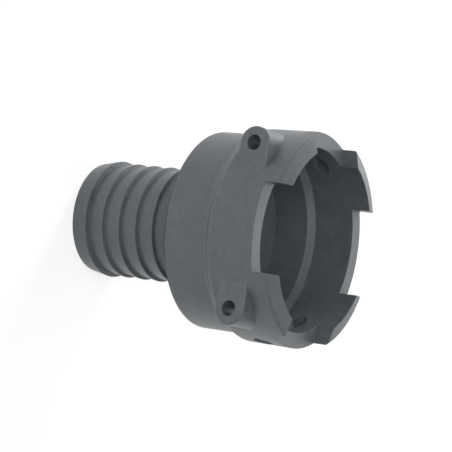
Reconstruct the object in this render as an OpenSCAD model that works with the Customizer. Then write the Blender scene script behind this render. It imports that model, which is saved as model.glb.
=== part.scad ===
// Straight hose connector, moulded in one piece.
// A barbed tail takes the hose, and a round socket takes the mating spigot.
// Two pin holes beside the socket take the legs of a locking clip, and four
// tabs round the mouth stop the mating piece from turning.
// The axis is Z. The end face of the tail is at z = 0 and the mouth is up.

/* [Hose tail] */
// Bore for the flow, from the end face through to the socket
hose_bore_d = 41; // [34:0.5:44]
// Outer diameter at the end face
tail_end_d = 50.4; // [49:0.1:51]
// Rounding of the outer edge of the end face
tail_end_round = 0.6; // [0.3:0.1:1.2]
// Outer diameter over the first barb
first_barb_d = 53.8; // [52.5:0.1:56]
// Distance from the end face to the crest of the first barb
first_barb_len = 8.3; // [6:0.1:9]
// Outer diameter over each of the other barbs
barb_d = 52.6; // [51:0.1:54]
// Diameter of the tail behind each barb and at the neck
neck_d = 49.4; // [48:0.1:50.5]
// Distance from one crest to the next
barb_pitch = 9; // [7:0.1:9.5]
// Number of barbs
barb_count = 5; // [2:1:6]
// Length of the steep step behind each crest
barb_step_len = 0.5; // [0.2:0.1:1.5]
// Distance from the end face to the back of the cup
tail_len = 62.8; // [58:0.1:75]
// Fillet between the neck and the back of the cup
neck_fillet = 2; // [1:0.1:4]

/* [Cup outside] */
// Outer diameter at the back edge
cup_back_d = 88.9; // [88:0.1:90]
// Rounding of the back edge
cup_back_round = 0.9; // [0.4:0.1:2]
// Outer diameter just behind the shoulder
cup_rear_d = 89.3; // [89:0.1:91]
// Distance from the back of the cup to the start of the shoulder
cup_rear_len = 19.6; // [16:0.1:21]
// Length of the curved shoulder
shoulder_len = 6.6; // [5:0.1:8]
// Outer diameter just in front of the shoulder
cup_front_d = 95.2; // [94:0.1:96]
// Outer diameter at the rim
rim_d = 96; // [95:0.1:98]

/* [Socket] */
// Wall between the back of the cup and the floor of the socket
end_wall = 7.2; // [5:0.1:10]
// Chamfer where the hose bore opens into the socket
floor_chamfer = 1; // [0.4:0.1:2]
// Bore in which the mating seal slides
seal_bore_d = 76.3; // [72:0.1:78]
// Length of the seal bore
seal_len = 17.3; // [14:0.1:20]
// Length of the tapered lead-in in front of the seal bore
lead_len = 2.7; // [1.5:0.1:4]
// Bore of the mouth
mouth_bore_d = 82.1; // [80:0.1:83.5]
// Length of the mouth from the lead-in to the floor of the rim gaps
mouth_len = 19.4; // [18.4:0.1:24]

/* [Rim tabs] */
// Width of the gaps between the tabs
gap_w = 38.7; // [24:0.1:46]
// Height of the tabs above the floor of the gaps
tab_h = 9.1; // [5:0.1:12]
// Fall of the front face of each tab from its inner edge to its outer edge
tab_fall = 1.9; // [0.5:0.1:3]
// Width of the chamfer on the outer edge of each tab
tab_chamfer_w = 0.6; // [0.3:0.1:1.2]
// Height of the chamfer on the outer edge of each tab
tab_chamfer_h = 0.9; // [0.3:0.1:1.5]

/* [Clip ears] */
// Distance of each pin hole from the axis of the socket
pin_offset = 35.9; // [35:0.1:37]
// Distance from the floor of the rim gaps back to the pin holes
pin_drop = 10.3; // [8.5:0.1:11]
// Diameter of the pin holes
pin_hole_d = 6.7; // [5:0.1:7.5]
// Distance from the axis of the socket to the blind end of the pin holes, in the wall opposite the ears
pin_reach = 25.5; // [22:0.1:26.5]
// Distance of the flat ear faces from the axis of the socket
ear_face = 41.2; // [40:0.1:43]
// Half the width of each ear, also the radius of its round end
ear_r = 7.2; // [6:0.1:7.6]
// Chamfer round the ear faces
ear_chamfer = 0.85; // [0.3:0.05:1.5]

/* [Gate mark] */
// Diameter of the shallow round mark left by the moulding gate
gate_d = 8.4; // [5:0.1:10]
// Depth of the gate mark
gate_depth = 0.7; // [0.3:0.1:1.2]
// Angle of the gate mark from the X axis toward the ear faces
gate_angle = 9.5; // [0:0.5:15]

/* [Hidden] */

// Facets of every round, and how far a cut runs past the surface it opens
$fn = 180;
over = 1;

// Heights of the faces, from the end face of the tail upward
floor_z = tail_len + end_wall;
lead_z = floor_z + seal_len;
mouth_z = lead_z + lead_len;
gap_z = mouth_z + mouth_len;
tip_z = gap_z + tab_h;
shoulder_z = tail_len + cup_rear_len;
front_z = shoulder_z + shoulder_len;
pin_z = gap_z - pin_drop;

// Radii
hose_bore_r = hose_bore_d / 2;
tail_end_r = tail_end_d / 2;
neck_r = neck_d / 2;
cup_back_r = cup_back_d / 2;
cup_rear_r = cup_rear_d / 2;
cup_front_r = cup_front_d / 2;
rim_r = rim_d / 2;
seal_r = seal_bore_d / 2;
mouth_r = mouth_bore_d / 2;

// Middle of the shoulder, and the radius of the two arcs that meet there
shoulder_rise = cup_front_r - cup_rear_r;
shoulder_mid_r = cup_rear_r + shoulder_rise / 2;
shoulder_mid_z = shoulder_z + shoulder_len / 2;
shoulder_arc_r = (pow(shoulder_len, 2) + pow(shoulder_rise, 2)) / (4 * shoulder_rise);

// Corner of a square between its point and an arc that touches both sides
module corner_waste(r) {
    difference() {
        square(r);
        translate([r, r]) circle(r);
    }
}

// One barb: a cone that widens from z = 0 to its crest, then a steep step
module barb_profile(start_r, crest_r, len) {
    polygon([
        [0, 0],
        [start_r, 0],
        [crest_r, len],
        [neck_r, len + barb_step_len],
        [0, len + barb_step_len]
    ]);
}

// Half section of the tail, with the neck up to the back of the cup
module tail_profile() {
    difference() {
        barb_profile(tail_end_r, first_barb_d / 2, first_barb_len);
        translate([tail_end_r, 0]) mirror([1, 0]) corner_waste(tail_end_round);
    }
    for (i = [1 : barb_count - 1])
        translate([0, first_barb_len + (i - 1) * barb_pitch])
            barb_profile(neck_r, barb_d / 2, barb_pitch);
    translate([0, first_barb_len]) square([neck_r, tail_len - first_barb_len]);
    translate([neck_r, tail_len]) mirror([0, 1]) corner_waste(neck_fillet);
}

// Half section of the curved shoulder between the rear and the front of the cup
module shoulder_profile() {
    difference() {
        translate([0, shoulder_z]) square([shoulder_mid_r, shoulder_len / 2]);
        translate([cup_rear_r + shoulder_arc_r, shoulder_z]) circle(shoulder_arc_r);
    }
    intersection() {
        translate([0, shoulder_mid_z]) square([cup_front_r, shoulder_len / 2]);
        union() {
            square([cup_front_r - shoulder_arc_r, tip_z]);
            translate([cup_front_r - shoulder_arc_r, front_z]) circle(shoulder_arc_r);
        }
    }
}

// Half section of the cup, outside surfaces only
module cup_profile() {
    difference() {
        polygon([
            [0, tail_len],
            [cup_back_r, tail_len],
            [cup_rear_r, shoulder_z],
            [0, shoulder_z]
        ]);
        translate([cup_back_r, tail_len]) mirror([1, 0]) corner_waste(cup_back_round);
    }
    shoulder_profile();
    polygon([
        [0, front_z],
        [cup_front_r, front_z],
        [rim_r, gap_z],
        [rim_r, tip_z - tab_fall - tab_chamfer_h],
        [rim_r - tab_chamfer_w, tip_z - tab_fall],
        [mouth_r, tip_z],
        [0, tip_z]
    ]);
}

// Half section of everything bored out along the axis
module bore_profile() {
    translate([0, -over]) square([hose_bore_r, floor_z + 2 * over]);
    polygon([
        [0, floor_z - floor_chamfer],
        [hose_bore_r, floor_z - floor_chamfer],
        [hose_bore_r + floor_chamfer, floor_z],
        [seal_r, floor_z],
        [seal_r, lead_z],
        [mouth_r, mouth_z],
        [mouth_r, tip_z + over],
        [0, tip_z + over]
    ]);
}

// Straight sides of both ears, as one bar across the socket with chamfered front edges
module ear_bar() {
    translate([0, 0, pin_z]) rotate([90, 0, 90])
        linear_extrude(height = 2 * pin_offset, center = true)
            polygon([
                [-ear_face, ear_chamfer - ear_r],
                [-ear_face + ear_chamfer, -ear_r],
                [0, -ear_r],
                [0, ear_r],
                [-ear_face + ear_chamfer, ear_r],
                [-ear_face, ear_r - ear_chamfer]
            ]);
}

// Round end of one ear, along Y, with its chamfered front edge
module ear_end() {
    translate([0, -ear_face, pin_z]) rotate([-90, 0, 0]) {
        cylinder(h = ear_chamfer, r1 = ear_r - ear_chamfer, r2 = ear_r);
        translate([0, 0, ear_chamfer]) cylinder(h = ear_face - ear_chamfer, r = ear_r);
    }
}

// Hole for one leg of the clip, from the ear face across the socket to its blind end in the far wall
module pin_hole() {
    translate([0, -ear_face - over, pin_z]) rotate([-90, 0, 0])
        cylinder(h = over + ear_face + pin_reach, d = pin_hole_d);
}

// Two slots that cross over the axis and leave the four tabs standing
module rim_gaps() {
    for (turn = [0, 90])
        rotate([0, 0, turn]) translate([-gap_w / 2, -rim_r - over, gap_z])
            cube([gap_w, 2 * (rim_r + over), tab_h + over]);
}

// Shallow round mark in the side of the cup, level with the pin holes
module gate_mark() {
    rotate([0, 0, -gate_angle]) translate([cup_front_r - gate_depth, 0, pin_z])
        rotate([0, 90, 0]) cylinder(h = gate_depth + 2 * over, d = gate_d);
}

// The whole connector as one solid
module connector_body() {
    color("#6b7074")
        difference() {
            union() {
                rotate_extrude() {
                    tail_profile();
                    cup_profile();
                }
                ear_bar();
                for (side = [-1, 1]) translate([side * pin_offset, 0, 0]) ear_end();
            }
            rotate_extrude() bore_profile();
            for (side = [-1, 1]) translate([side * pin_offset, 0, 0]) pin_hole();
            rim_gaps();
            gate_mark();
        }
}

connector_body();
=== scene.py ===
"""Looks of the straight hose connector: moulded grey plastic on a plain white floor.

Metres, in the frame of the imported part: the hose tail stands on the floor at z = 0,
the socket opens upward, and the flat ear faces look along -Y.
"""

import math

import bpy
from mathutils import Matrix, Vector

WHITE = (1.0, 1.0, 1.0, 1.0)

# Camera: where it looks, how far off it stands, its turn about the view, its framing, and how far it sees
AIM = Vector((0.0, 0.0, 0.060))
CAMERA_DISTANCE = 0.97336
CAMERA_AZIMUTH = 4.764
CAMERA_ELEVATION = 31.688
CAMERA_ROLL = 96.341
CAMERA_LENS_MM = 171.43
CAMERA_SHIFT = (0.02885, 0.00844)
CAMERA_REACH = 20.0

# Lamps: name, azimuth and elevation seen from the part in degrees, side of the square in metres, and watts
LAMP_DISTANCE = 1.3
LAMPS = [
    ("lamp_front", 0.0, 35.0, 0.7, 4.8),
    ("lamp_front_top", 330.0, 48.0, 0.32, 1.2),
    ("lamp_right_top", 60.0, 70.0, 0.32, 1.7),
    ("lamp_left", 240.0, 28.0, 0.32, 6.6),
    ("lamp_back_left", 200.0, 28.0, 0.32, 0.9),
    ("lamp_back_low", 210.0, 12.0, 0.7, 2.4),
    ("lamp_back", 180.0, 35.0, 0.7, 1.9),
]

# World: its strength as a light, and its strengths where it is seen or mirrored. There it is white
# up to the first height above the horizon in degrees, and darker from the second one upward.
WORLD_FILL = 0.2
SKY_WHITE = 1.0
SKY_WHITE_UP_TO = 5.0
SKY_DARK = 0.3
SKY_DARK_FROM = 25.0

# Floor: half its side, its shade as it lights the part, and its shade and glow where it is seen or mirrored
FLOOR_HALF = 0.55
FLOOR_SHADE = 0.82
FLOOR_SEEN_SHADE = 0.42
FLOOR_GLOW = 0.74

# Plastic: its colour, its roughness, and how far clouds and mottling each move the roughness
PLASTIC = (0.126, 0.142, 0.154, 1.0)
ROUGHNESS = 0.40
GLOSS_SPREAD = 0.03

# Patterns in the plastic: size of their features, levels of detail, and strength.
# The strength is a share of the colour for clouds and mottling, and a depth for waves and grain.
CLOUD_SIZE = 0.014
CLOUD_DETAIL = 3.0
CLOUD_SHADE = 0.07
MOTTLE_SIZE = 0.0025
MOTTLE_DETAIL = 2.0
MOTTLE_SHADE = 0.09
WAVE_SIZE = 0.010
WAVE_DETAIL = 1.0
WAVE_DEPTH = 0.00014
GRAIN_SIZE = 0.0008
GRAIN_DETAIL = 2.0
GRAIN_DEPTH = 0.00003
NOISE_SPAN = (0.3, 0.7)

# Edges: radius of their rounding, its samples, how well the rounded normal agrees with the face's own
# where rubbing starts and where it is full, and the lighter colour of rubbed plastic
EDGE_RADIUS = 0.0003
EDGE_SAMPLES = 6
EDGE_AGREEMENT = (0.99, 0.85)
RUBBED = (0.20, 0.215, 0.225, 1.0)

# Share of the rubbed colour on an edge, from its least to its most rubbed places, and the span of
# the mottling over which it rises
RUB_SHARE = (0.1, 0.6)
RUB_SPAN = (0.35, 0.65)


def direction(azimuth, elevation):
    """Unit vector from the part toward a place seen at these angles. Azimuth 0 is -Y and 90 is +X."""
    a, e = math.radians(azimuth), math.radians(elevation)
    return Vector((math.sin(a) * math.cos(e), -math.cos(a) * math.cos(e), math.sin(e)))


def feed(tree, value, socket):
    """Links another node's output to the socket, or sets the socket to a number or colour."""
    if isinstance(value, bpy.types.NodeSocket):
        tree.links.new(value, socket)
    else:
        socket.default_value = value


def new_node(tree, kind, **inputs):
    """A node of that kind, with its named inputs fed."""
    node = tree.nodes.new(kind)
    for name, value in inputs.items():
        feed(tree, value, node.inputs[name.replace("_", " ")])
    return node


def new_math(tree, operation, first, second):
    """Result of a Math node. Each operand is a number or another node's output."""
    node = tree.nodes.new("ShaderNodeMath")
    node.operation = operation
    feed(tree, first, node.inputs[0])
    feed(tree, second, node.inputs[1])
    return node.outputs[0]


def new_mix(tree, blend, factor, first, second):
    """Result of a Mix node for colours."""
    node = tree.nodes.new("ShaderNodeMix")
    node.data_type = "RGBA"
    node.blend_type = blend
    for name, value in (("Factor", factor), ("A", first), ("B", second)):
        feed(tree, value, node.inputs[name])
    return node.outputs["Result"]


def new_range(tree, value, old, new):
    """Maps a value from the old range to the new one, and clamps it there."""
    node = new_node(tree, "ShaderNodeMapRange", Value=value, From_Min=old[0], From_Max=old[1],
                    To_Min=new[0], To_Max=new[1])
    return node.outputs["Result"]


def around(middle, spread):
    """Range of that spread to both sides of the middle."""
    return middle - spread, middle + spread


def make_camera():
    back = direction(CAMERA_AZIMUTH, CAMERA_ELEVATION)
    level_right = Vector((0, 0, 1)).cross(back).normalized()
    level_up = back.cross(level_right)
    roll = math.radians(CAMERA_ROLL)
    right = level_right * math.cos(roll) + level_up * math.sin(roll)
    up = back.cross(right)
    data = bpy.data.cameras.new("camera")
    data.lens = CAMERA_LENS_MM
    data.shift_x, data.shift_y = CAMERA_SHIFT
    data.clip_end = CAMERA_REACH
    camera = bpy.data.objects.new("camera", data)
    turn = Matrix((right, up, back)).transposed().to_4x4()
    camera.matrix_world = Matrix.Translation(AIM + back * CAMERA_DISTANCE) @ turn
    bpy.context.scene.collection.objects.link(camera)
    bpy.context.scene.camera = camera


def make_lamp(name, azimuth, elevation, side, watts):
    data = bpy.data.lights.new(name, "AREA")
    data.shape = "SQUARE"
    data.size = side
    data.energy = watts
    lamp = bpy.data.objects.new(name, data)
    toward = direction(azimuth, elevation)
    lamp.location = AIM + toward * LAMP_DISTANCE
    lamp.rotation_mode = "QUATERNION"
    lamp.rotation_quaternion = toward.to_track_quat("Z", "Y")
    bpy.context.scene.collection.objects.link(lamp)


def seen_ray(tree):
    """1 for the rays by which the camera sees the surroundings: its own, mirrored and transmitted ones."""
    path = tree.nodes.new("ShaderNodeLightPath")
    mirrored = new_math(tree, "MAXIMUM", path.outputs["Is Glossy Ray"], path.outputs["Is Transmission Ray"])
    return new_math(tree, "MAXIMUM", path.outputs["Is Camera Ray"], mirrored)


def make_world():
    """A weak even fill as a light. Where it is seen or mirrored, it is white low down and darker higher up."""
    world = bpy.data.worlds.new("studio")
    world.use_nodes = True
    tree = world.node_tree
    toward = tree.nodes.new("ShaderNodeTexCoord").outputs["Generated"]
    height = new_node(tree, "ShaderNodeSeparateXYZ", Vector=toward).outputs["Z"]
    fade = [math.sin(math.radians(angle)) for angle in (SKY_WHITE_UP_TO, SKY_DARK_FROM)]
    sky = new_range(tree, height, fade, (SKY_WHITE, SKY_DARK))
    above_fill = new_math(tree, "MULTIPLY", seen_ray(tree), new_math(tree, "SUBTRACT", sky, WORLD_FILL))
    background = tree.nodes["Background"]
    background.inputs["Color"].default_value = WHITE
    tree.links.new(new_math(tree, "ADD", above_fill, WORLD_FILL), background.inputs["Strength"])
    bpy.context.scene.world = world


def floor_material():
    """Pale diffuse floor. Where it is seen or mirrored, a glow lifts it to an even white with a soft shadow."""
    material = bpy.data.materials.new("white_floor")
    material.use_nodes = True
    tree = material.node_tree
    tree.nodes.clear()
    seen = seen_ray(tree)
    shade = new_range(tree, seen, (0.0, 1.0), (FLOOR_SHADE, FLOOR_SEEN_SHADE))
    diffuse = new_node(tree, "ShaderNodeBsdfDiffuse", Color=shade)
    strength = new_math(tree, "MULTIPLY", seen, FLOOR_GLOW)
    glow = new_node(tree, "ShaderNodeEmission", Color=WHITE, Strength=strength)
    both = tree.nodes.new("ShaderNodeAddShader")
    tree.links.new(diffuse.outputs[0], both.inputs[0])
    tree.links.new(glow.outputs[0], both.inputs[1])
    new_node(tree, "ShaderNodeOutputMaterial", Surface=both.outputs[0])
    return material


def make_floor():
    mesh = bpy.data.meshes.new("floor")
    h = FLOOR_HALF
    mesh.from_pydata([(-h, -h, 0), (h, -h, 0), (h, h, 0), (-h, h, 0)], [], [(0, 1, 2, 3)])
    mesh.materials.append(floor_material())
    floor = bpy.data.objects.new("floor", mesh)
    bpy.context.scene.collection.objects.link(floor)


def new_noise(tree, size, detail):
    """Noise about a middle of 0.5, fixed to the part, with features of this size in metres."""
    place = tree.nodes.new("ShaderNodeTexCoord").outputs["Object"]
    noise = new_node(tree, "ShaderNodeTexNoise", Vector=place, Scale=1.0 / size, Detail=detail)
    return noise.outputs["Fac"]


def new_bump(tree, height, depth, normal):
    """Normal that is bumped by a height pattern of this depth in metres."""
    bump = new_node(tree, "ShaderNodeBump", Height=height, Normal=normal, Strength=1.0, Distance=depth)
    return bump.outputs[0]


def edge_mask(tree, rounded):
    """From 0 on open faces to 1 on a rounded edge, where the rounded normal leaves the face's own."""
    agreement = tree.nodes.new("ShaderNodeVectorMath")
    agreement.operation = "DOT_PRODUCT"
    tree.links.new(rounded, agreement.inputs[0])
    tree.links.new(tree.nodes.new("ShaderNodeNewGeometry").outputs["Normal"], agreement.inputs[1])
    return new_range(tree, agreement.outputs["Value"], EDGE_AGREEMENT, (0.0, 1.0))


def plastic_material():
    """Moulded grey plastic with faint clouds, mottling, waves and a fine grain.

    Its edges are rounded in the shading and a little rubbed.
    """
    material = bpy.data.materials.new("grey_plastic")
    material.use_nodes = True
    tree = material.node_tree
    clouds = new_noise(tree, CLOUD_SIZE, CLOUD_DETAIL)
    mottle = new_noise(tree, MOTTLE_SIZE, MOTTLE_DETAIL)
    waves = new_noise(tree, WAVE_SIZE, WAVE_DETAIL)
    grain = new_noise(tree, GRAIN_SIZE, GRAIN_DETAIL)
    bevel = new_node(tree, "ShaderNodeBevel", Radius=EDGE_RADIUS)
    bevel.samples = EDGE_SAMPLES
    rounded = bevel.outputs[0]

    # Colour: clouds and mottling darken and lighten it, and edges show the rubbed colour in spots
    cloud_shade = new_range(tree, clouds, NOISE_SPAN, around(1.0, CLOUD_SHADE))
    mottle_shade = new_range(tree, mottle, NOISE_SPAN, around(0.0, MOTTLE_SHADE))
    shade = new_math(tree, "ADD", cloud_shade, mottle_shade)
    unrubbed = new_mix(tree, "MULTIPLY", 1.0, PLASTIC, shade)
    rub_share = new_range(tree, mottle, RUB_SPAN, RUB_SHARE)
    rubbing = new_math(tree, "MULTIPLY", edge_mask(tree, rounded), rub_share)
    colour = new_mix(tree, "MIX", rubbing, unrubbed, RUBBED)

    # Gloss: varies with the same two patterns
    cloud_gloss = new_range(tree, clouds, NOISE_SPAN, around(ROUGHNESS, GLOSS_SPREAD))
    mottle_gloss = new_range(tree, mottle, NOISE_SPAN, around(0.0, GLOSS_SPREAD))
    roughness = new_math(tree, "ADD", cloud_gloss, mottle_gloss)

    # Relief: waves and grain on top of the rounded edges
    normal = new_bump(tree, grain, GRAIN_DEPTH, new_bump(tree, waves, WAVE_DEPTH, rounded))

    shader = tree.nodes["Principled BSDF"]
    for name, value in (("Base Color", colour), ("Roughness", roughness), ("Normal", normal)):
        tree.links.new(value, shader.inputs[name])
    return material


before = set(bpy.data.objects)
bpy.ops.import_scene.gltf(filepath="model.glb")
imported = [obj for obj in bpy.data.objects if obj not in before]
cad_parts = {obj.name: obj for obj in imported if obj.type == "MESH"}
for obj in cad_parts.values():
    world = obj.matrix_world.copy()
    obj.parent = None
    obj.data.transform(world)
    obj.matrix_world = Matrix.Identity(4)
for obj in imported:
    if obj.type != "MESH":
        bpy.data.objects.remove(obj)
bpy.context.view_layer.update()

make_camera()
make_world()
for lamp in LAMPS:
    make_lamp(*lamp)
make_floor()

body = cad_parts["connector_body"]
body.data.materials.clear()
body.data.materials.append(plastic_material())

bpy.context.scene.view_settings.view_transform = "Standard"
